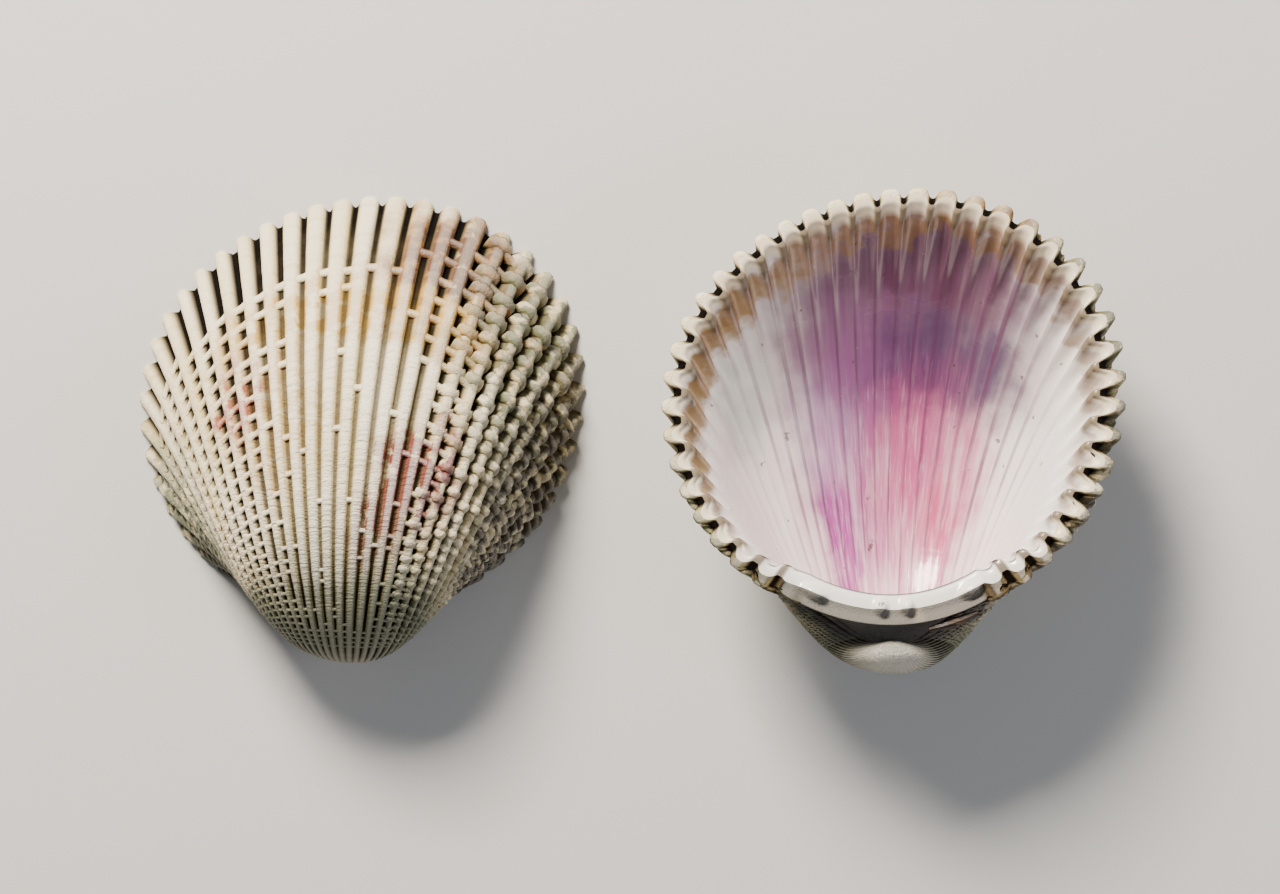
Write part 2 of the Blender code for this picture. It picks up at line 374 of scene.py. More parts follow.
    # Where a point is on the shell is kept for the growth lines and for the finishes.
    marked = tube
    dome = node(tree, "ShaderNodeMath", [1, inner], operation="SUBTRACT")
    for label, kind, value in (("around", "FLOAT_VECTOR", direction(tree, heading)), ("turn", "FLOAT", turn),
                               ("dome", "FLOAT", dome), ("crest", "FLOAT", crest)):
        marked = node(tree, "GeometryNodeStoreNamedAttribute",
                      {"Geometry": marked, "Name": label, "Value": value}, data_type=kind)
    formed = node(tree, "GeometryNodeSetPosition", {"Geometry": marked, "Position": spot})

    # Swellings and halts of growth run round the dome, about nine to a radian of turn.
    turn_kept = node(tree, "GeometryNodeInputNamedAttribute", {"Name": "turn"}, data_type="FLOAT")
    dome_kept = node(tree, "GeometryNodeInputNamedAttribute", {"Name": "dome"}, data_type="FLOAT")
    counted = node(tree, "ShaderNodeMath", [turn_kept, 9.0], operation="MULTIPLY")
    lines = node(tree, "ShaderNodeCombineXYZ", [counted])
    waves = node(tree, "ShaderNodeTexNoise", {"Vector": lines, "Scale": 1.0, "Detail": 3.0})
    lift = node(tree, "ShaderNodeMath", [waves, 0.5], operation="SUBTRACT")
    lift_dome = node(tree, "ShaderNodeMath", [lift, dome_kept], operation="MULTIPLY")
    push = node(tree, "ShaderNodeMath", [lift_dome, given["Growth waves"]], operation="MULTIPLY")
    offset = node(tree, "ShaderNodeVectorMath",
                  {"Vector": node(tree, "GeometryNodeInputNormal"), "Scale": push}, operation="SCALE")
    waved = node(tree, "GeometryNodeSetPosition", {"Geometry": formed, "Offset": offset})

    smooth = node(tree, "GeometryNodeSetShadeSmooth", {"Geometry": waved})
    whole = node(tree, "GeometryNodeRealizeInstances", [smooth])
    coated = node(tree, "GeometryNodeSetMaterial", {"Geometry": whole, "Material": outside})
    within = node(tree, "FunctionNodeCompare", {"A": dome_kept, "B": 0.5}, operation="LESS_THAN")
    lined = node(tree, "GeometryNodeSetMaterial",
                 {"Geometry": coated, "Selection": within, "Material": inside})
    plug(tree, out.inputs["Valve"], lined)
    return tree


def hinge_teeth(tree, beside_hinge, inner):
    """A mask that is 1 on the tips of the teeth: two by the beak, and one on each side."""
    total = None
    for place, half_width, row, reach in HINGE_TEETH:
        from_tooth = node(tree, "ShaderNodeMath", [beside_hinge, math.radians(place)], operation="SUBTRACT")
        along = node(tree, "ShaderNodeMath", [from_tooth, math.radians(half_width)], operation="DIVIDE")
        from_row = node(tree, "ShaderNodeMath", [inner, row], operation="SUBTRACT")
        over = node(tree, "ShaderNodeMath", [from_row, reach], operation="DIVIDE")
        both = node(tree, "ShaderNodeCombineXYZ", [along, over])
        away = node(tree, "ShaderNodeVectorMath", [both], operation="LENGTH")
        tooth = node(tree, "ShaderNodeMapRange", [away.outputs["Value"], 0.25, 1, 1, 0],
                     interpolation_type="SMOOTHERSTEP")
        total = tooth if total is None else node(tree, "ShaderNodeMath", [total, tooth], operation="ADD")
    return total


def rib_section(x):
    """About how high a rib stands at a distance from its middle, counted in pitches."""
    return 1 / (1 + (abs(x) / 0.31) ** 8)


def groove_section(x):
    """The same, counted from the middle of a groove."""
    return rib_section(0.5 - abs(x))


def scale_shape(name, ground, top, thick, lean, bow):
    """A scale as a strip across one rib or groove, with a rounded top edge, as an object to be repeated.

    X runs across, one pitch wide. Y runs along the rib, one growth step long. Z is the height, one rib tall.
    Ground, top and thick are functions of x. Lean tips the top along Y, and bow pushes the middle that way.
    """
    mesh = bmesh.new()
    crest = mesh.verts.layers.float.new("crest")
    rows = []
    for x in ACROSS:
        high = top(x)
        foot = min(ground(x), high) - FOOT_SUNK
        shoulder = high - TOP_ROUND
        ring = []
        for y, z in ((-0.5, foot), (-0.5, shoulder), (0, high), (0.5, shoulder), (0.5, foot)):
            forward = lean * max(0.0, z - ground(x)) + bow * (1 - (2 * x) ** 2)
            vertex = mesh.verts.new((x, y * thick(x) + forward, z))
            vertex[crest] = min(1.0, max(0.0, z / high))
            ring.append(vertex)
        rows.append(ring)
    count = len(rows[0])
    for here, there in zip(rows, rows[1:]):
        for i in range(count):
            mesh.faces.new((here[i], there[i], there[(i + 1) % count], here[(i + 1) % count]))
    mesh.faces.new(rows[0])
    mesh.faces.new(reversed(rows[-1]))
    bmesh.ops.recalc_face_normals(mesh, faces=mesh.faces)
    data = bpy.data.meshes.new(name)
    mesh.to_mesh(data)
    mesh.free()
    return bpy.data.objects.new(name, data)


def scale_tree(coil, outside):
    """One kind of scale: one for each rib and step of growth, standing up from the wall's surface."""
    tree, given, out = new_tree("Cockle scales", SCALES, {"Scales": "NodeSocketGeometry"})
    last = node(tree, "ShaderNodeMath", [given["Steps"], 1], operation="SUBTRACT")
    grid = node(tree, "GeometryNodeMeshGrid",
                {"Size X": RIB_COUNT - 1, "Size Y": last, "Vertices X": RIB_COUNT,
                 "Vertices Y": given["Steps"]})
    place = node(tree, "ShaderNodeSeparateXYZ", [node(tree, "GeometryNodeInputPosition")])
    rib = node(tree, "ShaderNodeMath", [place.outputs["X"], given["Beside"]], operation="ADD")
    heading = node(tree, "ShaderNodeMath", [rib, RIB_PITCH], operation="MULTIPLY")
    index = node(tree, "ShaderNodeMath", [last, 0.5, place.outputs["Y"]], operation="MULTIPLY_ADD")
    least = node(tree, "ShaderNodeMath", [given["Uneven"], -1], operation="MULTIPLY")
    shift = node(tree, "FunctionNodeRandomValue",
                 {"Min": least, "Max": given["Uneven"], "Seed": given["Seed"]}, data_type="FLOAT")
    shifted = node(tree, "ShaderNodeMath", [index, shift], operation="ADD")
    turn = node(tree, "ShaderNodeMath", [shifted, given["Growth step"], given["First step"]],
                operation="MULTIPLY_ADD")

    # Three points beside this one show which way the surface runs, and how big a pitch and a step are.
    spots = []
    for ahead, back, out_of_ring in ((0, 0, 0), (NUDGE, 0, 0), (0, NUDGE, 0), (0, 0, -MM)):
        spot = node(tree, "GeometryNodeGroup", node_tree=coil)
        for label, feed, more in (("Heading", heading, ahead), ("Turn", turn, back)):
            value = node(tree, "ShaderNodeMath", [feed, more], operation="ADD")
            plug(tree, spot.inputs[label], value)
        spot.inputs["Inset"].default_value = out_of_ring
        spots.append(spot)
    here = spots[0]
    across, along, upright = (
        node(tree, "ShaderNodeVectorMath", [spot, here], operation="SUBTRACT") for spot in spots[1:]
    )
    lengths = [
        node(tree, "ShaderNodeVectorMath", [step], operation="LENGTH").outputs["Value"]
        for step in (across, along, upright)
    ]
    wide = node(tree, "ShaderNodeMath", [lengths[0], RIB_PITCH / NUDGE], operation="MULTIPLY")
    long = node(tree, "ShaderNodeMath", [lengths[1], NUDGE], operation="DIVIDE")
    step = node(tree, "ShaderNodeMath", [long, given["Growth step"]], operation="MULTIPLY")
    size = node(tree, "ShaderNodeMath", [lengths[2], MM], operation="DIVIDE")
    share = by_heading(tree, heading, RIB_SHARE)
    new_rib = node(tree, "ShaderNodeMath", [share, given["Rib height"]], operation="MULTIPLY")
    worn_rib = node(tree, "ShaderNodeMath", [new_rib, unworn(tree, turn)], operation="MULTIPLY")

    # A rib stands up in its ring's plane, which leans on the shell's surface.
    backward = node(tree, "ShaderNodeVectorMath", [along, across], operation="CROSS_PRODUCT")
    outward = node(tree, "ShaderNodeVectorMath", [backward], operation="NORMALIZE")
    in_ring = node(tree, "ShaderNodeVectorMath", [upright], operation="NORMALIZE")
    lean = node(tree, "ShaderNodeVectorMath", [outward, in_ring], operation="DOT_PRODUCT").outputs["Value"]
    leaning_size = node(tree, "ShaderNodeMath", [size, lean], operation="MULTIPLY")
    whole_tall = node(tree, "ShaderNodeMath", [worn_rib, leaning_size], operation="MULTIPLY")
    lowest = node(tree, "ShaderNodeMath", [LEAST_HEIGHT, given["Uneven"]], operation="SUBTRACT")
    # The number of steps serves as the seed for how the scales are broken.
    broken = node(tree, "FunctionNodeRandomValue", {"Min": lowest, "Seed": last}, data_type="FLOAT")
    tall = node(tree, "ShaderNodeMath", [whole_tall, broken], operation="MULTIPLY")
    scale = node(tree, "ShaderNodeCombineXYZ", [wide, step, tall])
    axes = node(tree, "FunctionNodeAxesToRotation", [across, outward], primary_axis="X", secondary_axis="Z")

    # Scales thin out on the worn top of the dome, and the front ribs end smooth at the margin.
    flat_place = node(tree, "ShaderNodeCombineXYZ", [heading, turn])
    from_top = node(tree, "ShaderNodeVectorMath", [flat_place, WORN_TOP], operation="SUBTRACT")
    on_top = node(tree, "ShaderNodeVectorMath", [from_top, WORN_REACH], operation="DIVIDE")
    off_top = node(tree, "ShaderNodeVectorMath", [on_top], operation="LENGTH")
    kept = node(tree, "ShaderNodeMapRange", [off_top.outputs["Value"], 0.6, 1.1, WORN_LEFT, 1])
    first = by_heading(tree, heading, FIRST_SCALE)
    chance = node(tree, "FunctionNodeRandomValue", {"Min": 0.0, "Max": 1.0, "Seed": WORN_SEED},
                  data_type="FLOAT")
    not_worn = node(tree, "FunctionNodeCompare", {"A": chance, "B": kept}, operation="LESS_THAN")
    past_first = node(tree, "FunctionNodeCompare", {"A": turn, "B": first}, operation="GREATER_THAN")
    present = node(tree, "FunctionNodeBooleanMath", [not_worn, past_first], operation="AND")

    # All of it is kept on the points before they move, because it is worked out from where they were.
    marked = grid
    for label, kind, value in (
        ("around", "FLOAT_VECTOR", direction(tree, heading)), ("turn", "FLOAT", turn),
        ("heading", "FLOAT", heading), ("size", "FLOAT_VECTOR", scale), ("axes", "QUATERNION", axes),
        ("present", "BOOLEAN", present), ("place", "FLOAT_VECTOR", here),
    ):
        marked = node(tree, "GeometryNodeStoreNamedAttribute",
                      {"Geometry": marked, "Name": label, "Value": value}, data_type=kind)
    heading_kept, size_kept, axes_kept, present_kept, place_kept = (
        node(tree, "GeometryNodeInputNamedAttribute", {"Name": label}, data_type=kind)
        for label, kind in (("heading", "FLOAT"), ("size", "FLOAT_VECTOR"), ("axes", "QUATERNION"),
                            ("present", "BOOLEAN"), ("place", "FLOAT_VECTOR"))
    )
    formed = node(tree, "GeometryNodeSetPosition", {"Geometry": marked, "Position": place_kept})
    after = node(tree, "FunctionNodeCompare", {"A": heading_kept, "B": given["From heading"]},
                 operation="GREATER_THAN")
    before = node(tree, "FunctionNodeCompare", {"A": heading_kept, "B": given["To heading"]},
                  operation="LESS_EQUAL")
    within = node(tree, "FunctionNodeBooleanMath", [after, before], operation="AND")
    chosen = node(tree, "FunctionNodeBooleanMath", [within, present_kept], operation="AND")
    source = node(tree, "GeometryNodeObjectInfo", {"Object": given["Shape"]})
    placed = node(tree, "GeometryNodeInstanceOnPoints", {
        "Points": formed, "Selection": chosen, "Instance": source.outputs["Geometry"],
        "Rotation": axes_kept, "Scale": size_kept,
    })
    whole = node(tree, "GeometryNodeRealizeInstances", [placed])
    smooth = node(tree, "GeometryNodeSetShadeSmooth", {"Geometry": whole})
    coated = node(tree, "GeometryNodeSetMaterial", {"Geometry": smooth, "Material": outside})
    plug(tree, out.inputs["Scales"], coated)
    return tree


def grown(name, tree, sizes):
    """The plain mesh that a tree of geometry nodes makes, as a new object."""
    seed = bpy.data.objects.new("seed", bpy.data.meshes.new("seed"))
    bpy.context.scene.collection.objects.link(seed)
    modifier = seed.modifiers.new("grow", "NODES")
    modifier.node_group = tree
    for item in tree.interface.items_tree:
        if item.in_out == "INPUT" and item.name in sizes:
            modifier[item.identifier] = sizes[item.name]
    graph = bpy.context.evaluated_depsgraph_get()
    mesh = bpy.data.meshes.new_from_object(seed.evaluated_get(graph), depsgraph=graph)
    bpy.data.objects.remove(seed)
    mesh.name = name
    piece = bpy.data.objects.new(name, mesh)
    bpy.context.scene.collection.objects.link(piece)
    return piece


def corner(mesh):
    """The lowest x, y and z of a mesh."""
    return Vector([min(vertex.co[axis] for vertex in mesh.vertices) for axis in range(3)])


def lay(pieces, node_name, placing):
    """Turns a valve's pieces as it lies, and moves them so that the first has its CAD node's low corner."""
    for piece in pieces:
        piece.data.transform(placing)
        if placing.is_negative:
            piece.data.flip_normals()
    move = Matrix.Translation(Vector(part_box(node_name)[0]) - corner(pieces[0].data))
    for piece in pieces:
        piece.data.transform(move)


def linear(hex_colour):
    """An sRGB hex colour as the linear RGBA that a shader takes."""
    channels = [int(hex_colour[i:i + 2], 16) / 255 for i in (1, 3, 5)]
    return (*(c / 12.92 if c <= 0.04045 else ((c + 0.055) / 1.055) ** 2.4 for c in channels), 1)


def new_material(name):
    """A material of this name, its tree and its shader."""
    material = bpy.data.materials.new(name)
    material.use_nodes = True
    return material, material.node_tree, material.node_tree.nodes["Principled BSDF"]


def skin(tree):
    """A point's heading and turn on the shell, and its coordinates for streaks, for bands and for grain.

    Streaks run along the ribs, bands run along the growth lines, and grain has no direction. All three count
    in millimetres across: a radian of heading is 23 mm of margin, and a radian of turn is 26 mm of shell.
    The other number is made small, which draws the pattern out that way.
    """
    around = node(tree, "ShaderNodeAttribute", attribute_name="around").outputs["Vector"]
    turn = node(tree, "ShaderNodeAttribute", attribute_name="turn").outputs["Fac"]
    parts = node(tree, "ShaderNodeSeparateXYZ", [around])
    heading = node(tree, "ShaderNodeMath", [parts.outputs["X"], parts.outputs["Y"]], operation="ARCTAN2")
    back = node(tree, "ShaderNodeCombineXYZ", {"Z": turn})
    patterns = []
    for by_ring, by_turn in ((23, 5), (2, 26)):
        along = node(tree, "ShaderNodeVectorMath", [back, (0, 0, by_turn)], operation="MULTIPLY")
        patterns.append(node(tree, "ShaderNodeVectorMath", [around, (by_ring, by_ring, by_ring), along],
                             operation="MULTIPLY_ADD"))
    streaks, bands = patterns
    place = node(tree, "ShaderNodeTexCoord").outputs["Object"]
    grain = node(tree, "ShaderNodeVectorMath", [place, (1 / MM, 1 / MM, 1 / MM)], operation="MULTIPLY")
    return heading, turn, streaks, bands, grain


def noise(tree, vector, size, low, high, detail=3.0, least=0.0):
    """Noise with features of this size, spread from least at low to 1 at high."""
    texture = node(tree, "ShaderNodeTexNoise", {"Vector": vector, "Scale": 1 / size, "Detail": detail})
    return node(tree, "ShaderNodeMapRange", [texture, low, high, least, 1])


def tint(tree, under, mask, colour, strength=1.0):
    """Lays a colour over another, as far as the mask and the strength say."""
    share = node(tree, "ShaderNodeMath", [mask, strength], operation="MULTIPLY", use_clamp=True)
    return node(tree, "ShaderNodeMix", [share, under, linear(colour)], data_type="RGBA")


def patch(tree, heading, turn, middle, reach, edge=0.55):
    """A mask, 1 inside an oval on the shell and 0 outside. Middle and reach are in degrees and in turn."""
    flat = node(tree, "ShaderNodeCombineXYZ", [heading, turn])
    start = (math.radians(middle[0]), middle[1], 0)
    spread = (math.radians(reach[0]), reach[1], 1)
    away = node(tree, "ShaderNodeVectorMath", [flat, start], operation="SUBTRACT")
    scaled = node(tree, "ShaderNodeVectorMath", [away, spread], operation="DIVIDE")
    length = node(tree, "ShaderNodeVectorMath", [scaled], operation="LENGTH").outputs["Value"]
    return node(tree, "ShaderNodeMapRange", [length, edge, 2 - edge, 1, 0], interpolation_type="SMOOTHSTEP")


def ragged(tree, heading, turn, grain, wobble):
    """The heading and turn, pushed about by noise of about 3.6 mm, so that patches have ragged edges."""
    pushes = node(tree, "ShaderNodeTexNoise", {"Vector": grain, "Scale": 0.28, "Detail": 4.0})
    sides = node(tree, "ShaderNodeSeparateColor", [pushes.outputs["Color"]])
    moved = []
    for feed, side, share in ((heading, "Red", wobble), (turn, "Green", wobble * 0.6)):
        centred = node(tree, "ShaderNodeMath", [sides.outputs[side], 0.5], operation="SUBTRACT")
        moved.append(node(tree, "ShaderNodeMath", [centred, share, feed], operation="MULTIPLY_ADD"))
    return moved


# Headings between which the margin gives way to the hinge: for shine outside, and for cream teeth inside
SHINE_ENDS = (math.radians(122), math.radians(145))
TEETH_END = (math.radians(128), math.radians(142))

# Patches of colour: hex, middle and reach (heading in degrees, turn), strength, and what breaks them up.
# A later one lies over the earlier ones.
OUTSIDE_PATCHES = (
    ("#95672a", (33, 0.20), (27, 0.20), 1.30, "streaks"),
    ("#5d3517", (32, 0.15), (20, 0.12), 1.20, "grain"),
    ("#bf9436", (-2, 0.32), (56, 0.08), 0.90, "grain"),
    ("#bd9650", (-32, 0.62), (26, 0.22), 0.70, "grain"),
    ("#7b2d1e", (35, 0.80), (21, 0.19), 1.20, "grain"),
    ("#843f2d", (18, 1.04), (14, 0.16), 1.10, "grain"),
    ("#9c4a26", (-46, 0.50), (11, 0.11), 1.10, "grain"),
    ("#565a38", (0, 1.78), (160, 0.66), 1.15, "bands"),
    ("#4c5133", (-10, 2.30), (160, 0.60), 0.90, "streaks"),
    ("#626240", (72, 0.22), (34, 0.40), 1.00, "grain"),
    # This dark brown patch on the rear flank towards the hinge is painted shade.
    ("#453b24", (112, 0.50), (42, 0.70), 1.00, "grain"),
    ("#616a4a", (-128, 0.55), (38, 0.70), 0.95, "grain"),
    ("#f2ebda", (0, 4.00), (400, 1.60), 0.95, "solid"),
    # These two near-black patches by the hinge are painted shade: the shadowed gap under the beak and the
    # dark flanks beside the hinge.
    ("#1a170c", (-168, 1.40), (42, 2.80), 1.00, "solid"),
    ("#200f07", (168, 1.40), (42, 2.80), 1.00, "solid"),
)
INSIDE_PATCHES = (
    ("#cc7ea4", (2, 0.95), (54, 0.72), 0.85, "streaks"),
    ("#6b4463", (6, 0.26), (52, 0.30), 0.92, "solid"),
    ("#93548a", (-8, 0.62), (36, 0.42), 0.80, "streaks"),
    ("#bd4272", (22, 0.74), (30, 0.36), 0.65, "streaks"),
    ("#3a2e50", (25, 0.36), (30, 0.13), 0.72, "streaks"),
    ("#5c2a45", (14, 0.13), (30, 0.10), 0.75, "streaks"),
    ("#a23a8e", (-27, 1.05), (10, 0.42), 0.90, "streaks"),
    ("#b9446c", (32, 1.02), (11, 0.32), 0.70, "streaks"),
    ("#7fa392", (-66, 0.30), (15, 0.15), 0.40, "grain"),
    ("#98701c", (-76, 0.065), (50, 0.055), 0.90, "solid"),
    ("#8c642c", (12, 0.040), (112, 0.030), 0.75, "bands"),
)


def coloured(tree, under, patches, heading, turn, breakers):
    """Lays patches of colour over each other, each broken up by its kind of noise."""
    for colour, middle, reach, strength, kind in patches:
        mask = patch(tree, heading, turn, middle, reach)
        broken = node(tree, "ShaderNodeMath", [mask, breakers[kind]], operation="MULTIPLY")
        under = tint(tree, under, broken, colour, strength)
    return under


def shell_outside():
    """Chalky aragonite, ribbed and sea-worn: matt cream crests, dirt and painted shade in the grooves,
    near-black painted shade in the pits, stained in patches, and painted shade in patches by the hinge and
    on the rear flank.
    """
    material, tree, shader = new_material("Chalky aragonite, ribbed and sea-worn")
    heading, turn, streaks, bands, grain = skin(tree)
    crest = node(tree, "ShaderNodeAttribute", attribute_name="crest").outputs["Fac"]
    rough_heading, rough_turn = ragged(tree, heading, turn, grain, 0.5)
    cream = node(tree, "ShaderNodeRGB")
    cream.outputs[0].default_value = linear("#dac791")
    colour = tint(tree, cream, noise(tree, streaks, 3.0, 0.35, 0.65), "#f0e5c8", 0.8)
    colour = tint(tree, colour, noise(tree, grain, 0.9, 0.52, 0.70), "#dcc79c", 0.45)
    breakers = {
        "streaks": noise(tree, streaks, 2.2, 0.36, 0.50, least=0.3),
        "bands": noise(tree, bands, 3.0, 0.25, 0.55, least=0.75),
        "grain": noise(tree, grain, 1.5, 0.40, 0.50, least=0.15),
        "solid": 1.0,
    }
    colour = coloured(tree, colour, OUTSIDE_PATCHES, rough_heading, rough_turn, breakers)

    # Thin darker lines mark the halts of growth.
    halts = noise(tree, bands, 0.55, 0.56, 0.70)
    colour = tint(tree, colour, halts, "#9c8a66", 0.35)

    # Rubbed crests are white, except where the shell is stained. The grooves are coloured brown, partly dirt
    # and partly painted shade, and the pits near black as painted shade; both are weaker on the worn top.
    rubbed = node(tree, "ShaderNodeMapRange", [crest, 0.8, 1, 0, 1])
    top = patch(tree, rough_heading, rough_turn, (-6, 0.72), (42, 0.50))
    colour = tint(tree, colour, rubbed, "#fbf6ea", 0.16)
    rubbed_top = node(tree, "ShaderNodeMath", [rubbed, top], operation="MULTIPLY")
    colour = tint(tree, colour, rubbed_top, "#fffbf0", 0.35)
    # Dirt and painted shade: the lower flanks of ribs and the grooves are coloured grey-brown.
    low = node(tree, "ShaderNodeMapRange", [crest, 0.30, 0.78, 1, 0])
    dirt_and_shade_share = node(tree, "ShaderNodeMapRange", [top, 0, 1, 1, 0.62])
    groove_dirt_and_shade = node(tree, "ShaderNodeMath", [low, dirt_and_shade_share], operation="MULTIPLY")
    colour = tint(tree, colour, groove_dirt_and_shade, "#6e5f42", 0.85)
    # Painted shade: groove floors and pits are coloured near black.
    deep = node(tree, "ShaderNodeMapRange", [crest, 0.12, 0.52, 1, 0])
    shade = node(tree, "ShaderNodeMath", [deep, dirt_and_shade_share], operation="MULTIPLY")
    colour = tint(tree, colour, shade, "#0d0906", 1.0)
    plug(tree, shader.inputs["Base Color"], colour)

    gloss = node(tree, "ShaderNodeMapRange", [noise(tree, grain, 1.1, 0.3, 0.7), 0, 1, 0.48, 0.72])
    plug(tree, shader.inputs["Roughness"], gloss)
    shine = node(tree, "ShaderNodeMapRange", [crest, 0.2, 0.8, 0.03, 0.4])
    beside = node(tree, "ShaderNodeMath", [heading], operation="ABSOLUTE")
    dull = node(tree, "ShaderNodeMapRange", [beside, *SHINE_ENDS, 1, 0.05])
    dulled = node(tree, "ShaderNodeMath", [shine, dull], operation="MULTIPLY")
    plug(tree, shader.inputs["Specular IOR Level"], dulled)

    # Growth lines are 0.3 mm apart, and the chalk's pores are drawn 0.2 mm wide, coarser than they are.
    lines = node(tree, "ShaderNodeTexNoise", {"Vector": bands, "Scale": 3.2, "Detail": 2.0})
    chalk = node(tree, "ShaderNodeTexNoise", {"Vector": grain, "Scale": 4.5, "Detail": 4.0})
    carved = node(tree, "ShaderNodeBump", {"Strength": 0.8, "Distance": 0.30 * MM, "Height": lines})
    pitted = node(tree, "ShaderNodeBump", {"Strength": 0.8, "Distance": 0.20 * MM, "Height": chalk,
                                           "Normal": carved})
    plug(tree, shader.inputs["Normal"], pitted)
    return material


def shell_inside():
    """Porcelain aragonite, smoothed by the mantle: glossy white, flushed purple and rayed with pink."""
    material, tree, shader = new_material("Porcelain aragonite, smoothed by the mantle")
    heading, turn, streaks, bands, grain = skin(tree)
    crest = node(tree, "ShaderNodeAttribute", attribute_name="crest").outputs["Fac"]
    rough_heading, rough_turn = ragged(tree, heading, turn, grain, 0.35)
    white = node(tree, "ShaderNodeRGB")
    white.outputs[0].default_value = linear("#f4efe9")
    colour = tint(tree, white, noise(tree, grain, 6.0, 0.35, 0.65), "#f8ece2", 0.7)
    breakers = {
        "streaks": noise(tree, streaks, 1.4, 0.33, 0.62, least=0.55),
        "bands": noise(tree, bands, 3.0, 0.20, 0.60, least=0.3),
        "grain": noise(tree, grain, 3.2, 0.25, 0.55, least=0.5),
        "solid": noise(tree, streaks, 1.1, 0.25, 0.60, least=0.88),
    }
    colour = coloured(tree, colour, INSIDE_PATCHES, rough_heading, rough_turn, breakers)

    # Dark rays cross the flushed middle, where the grooves between the ribs show through.
    flush = patch(tree, rough_heading, rough_turn, (4, 0.50), (66, 0.80))
    between = node(tree, "ShaderNodeMapRange", [crest, 0.0, 0.30, 1, 0])
    broken_rays = noise(tree, streaks, 2.2, 0.30, 0.60, least=0.15)
    rays = node(tree, "ShaderNodeMath", [between, broken_rays], operation="MULTIPLY")
    flushed_rays = node(tree, "ShaderNodeMath", [rays, flush], operation="MULTIPLY")
    colour = tint(tree, colour, flushed_rays, "#5c2f50", 0.78)

    # Fine pale rays lighten the pink part.
    pink_part = patch(tree, rough_heading, rough_turn, (6, 0.92), (50, 0.50))
    pale = noise(tree, streaks, 0.5, 0.54, 0.68)
    pale_rays = node(tree, "ShaderNodeMath", [pale, pink_part], operation="MULTIPLY")
    colour = tint(tree, colour, pale_rays, "#fdeef2", 0.18)

    # A few specks of dirt stick to it.
    specks = noise(tree, grain, 1.6, 0.71, 0.74)
    colour = tint(tree, colour, specks, "#4b3a26", 0.7)

    # The margin's teeth are cream, and the gaps between them near the margin are coloured dark brown.
    beside = node(tree, "ShaderNodeMath", [heading], operation="ABSOLUTE")
    off_hinge = node(tree, "ShaderNodeMapRange", [beside, *TEETH_END, 1, 0])
    edge = node(tree, "ShaderNodeMapRange", [turn, 0.010, 0.028, 1, 0])
    margin = node(tree, "ShaderNodeMath", [edge, off_hinge], operation="MULTIPLY")
    colour = tint(tree, colour, margin, "#ead9b4", 0.8)
    gap = node(tree, "ShaderNodeMapRange", [crest, 0.15, 0.6, 1, 0])
    near_margin = node(tree, "ShaderNodeMapRange", [turn, 0.03, 0.07, 1, 0])
    darkened_gap = node(tree, "ShaderNodeMath", [gap, near_margin], operation="MULTIPLY")
    colour = tint(tree, colour, darkened_gap, "#5d4a30", 0.85)
    plug(tree, shader.inputs["Base Color"], colour)

    gloss = node(tree, "ShaderNodeMapRange", [noise(tree, grain, 4.0, 0.3, 0.7), 0, 1, 0.16, 0.30])
    matt = node(tree, "ShaderNodeMath", [margin, 0.25, gloss], operation="MULTIPLY_ADD")
    plug(tree, shader.inputs["Roughness"], matt)
    shader.inputs["Coat Weight"].default_value = 0.35
    shader.inputs["Coat Roughness"].default_value = 0.08

    # The polish is nearly even: soft growth rings and softer rays are felt rather than seen.
    rings = node(tree, "ShaderNodeTexNoise", {"Vector": bands, "Scale": 0.8, "Detail": 2.0})
    fine = node(tree, "ShaderNodeTexNoise", {"Vector": streaks, "Scale": 1.2, "Detail": 2.0})
    ringed = node(tree, "ShaderNodeBump", {"Strength": 0.25, "Distance": 0.10 * MM, "Height": rings})
    rayed = node(tree, "ShaderNodeBump", {"Strength": 0.3, "Distance": 0.08 * MM, "Height": fine,
                                          "Normal": ringed})
    plug(tree, shader.inputs["Normal"], rayed)
    return material


def dried_ligament():
    """Horny ligament, dried and torn: dark brown layers with amber edges, half matt."""
    material, tree, shader = new_material("Horny ligament, dried and torn")
    place = node(tree, "ShaderNodeTexCoord").outputs["Object"]
    # Fibres are a quarter of a millimetre thick and run along the hinge.
    along = node(tree, "ShaderNodeVectorMath", [place, (350, 4000, 4000)], operation="MULTIPLY")
    fibres = node(tree, "ShaderNodeTexNoise", {"Vector": along, "Scale": 1.0, "Detail": 4.0})
    brown = node(tree, "ShaderNodeRGB")
    brown.outputs[0].default_value = linear("#1e130c")
    torn = node(tree, "ShaderNodeMapRange", [fibres, 0.45, 0.7, 0, 1])
    colour = tint(tree, brown, torn, "#4e2f19", 0.7)
    spots = node(tree, "ShaderNodeTexNoise", {"Vector": place, "Scale": 900, "Detail": 3.0})
    amber = node(tree, "ShaderNodeMapRange", [spots, 0.55, 0.7, 0, 1])
    colour = tint(tree, colour, amber, "#6d4f2c", 0.4)
    plug(tree, shader.inputs["Base Color"], colour)
    gloss = node(tree, "ShaderNodeMapRange", [fibres, 0.3, 0.7, 0.35, 0.65])
    plug(tree, shader.inputs["Roughness"], gloss)
    split = node(tree, "ShaderNodeBump", {"Strength": 0.8, "Distance": 0.15 * MM, "Height": fibres})
    plug(tree, shader.inputs["Normal"], split)
    return material


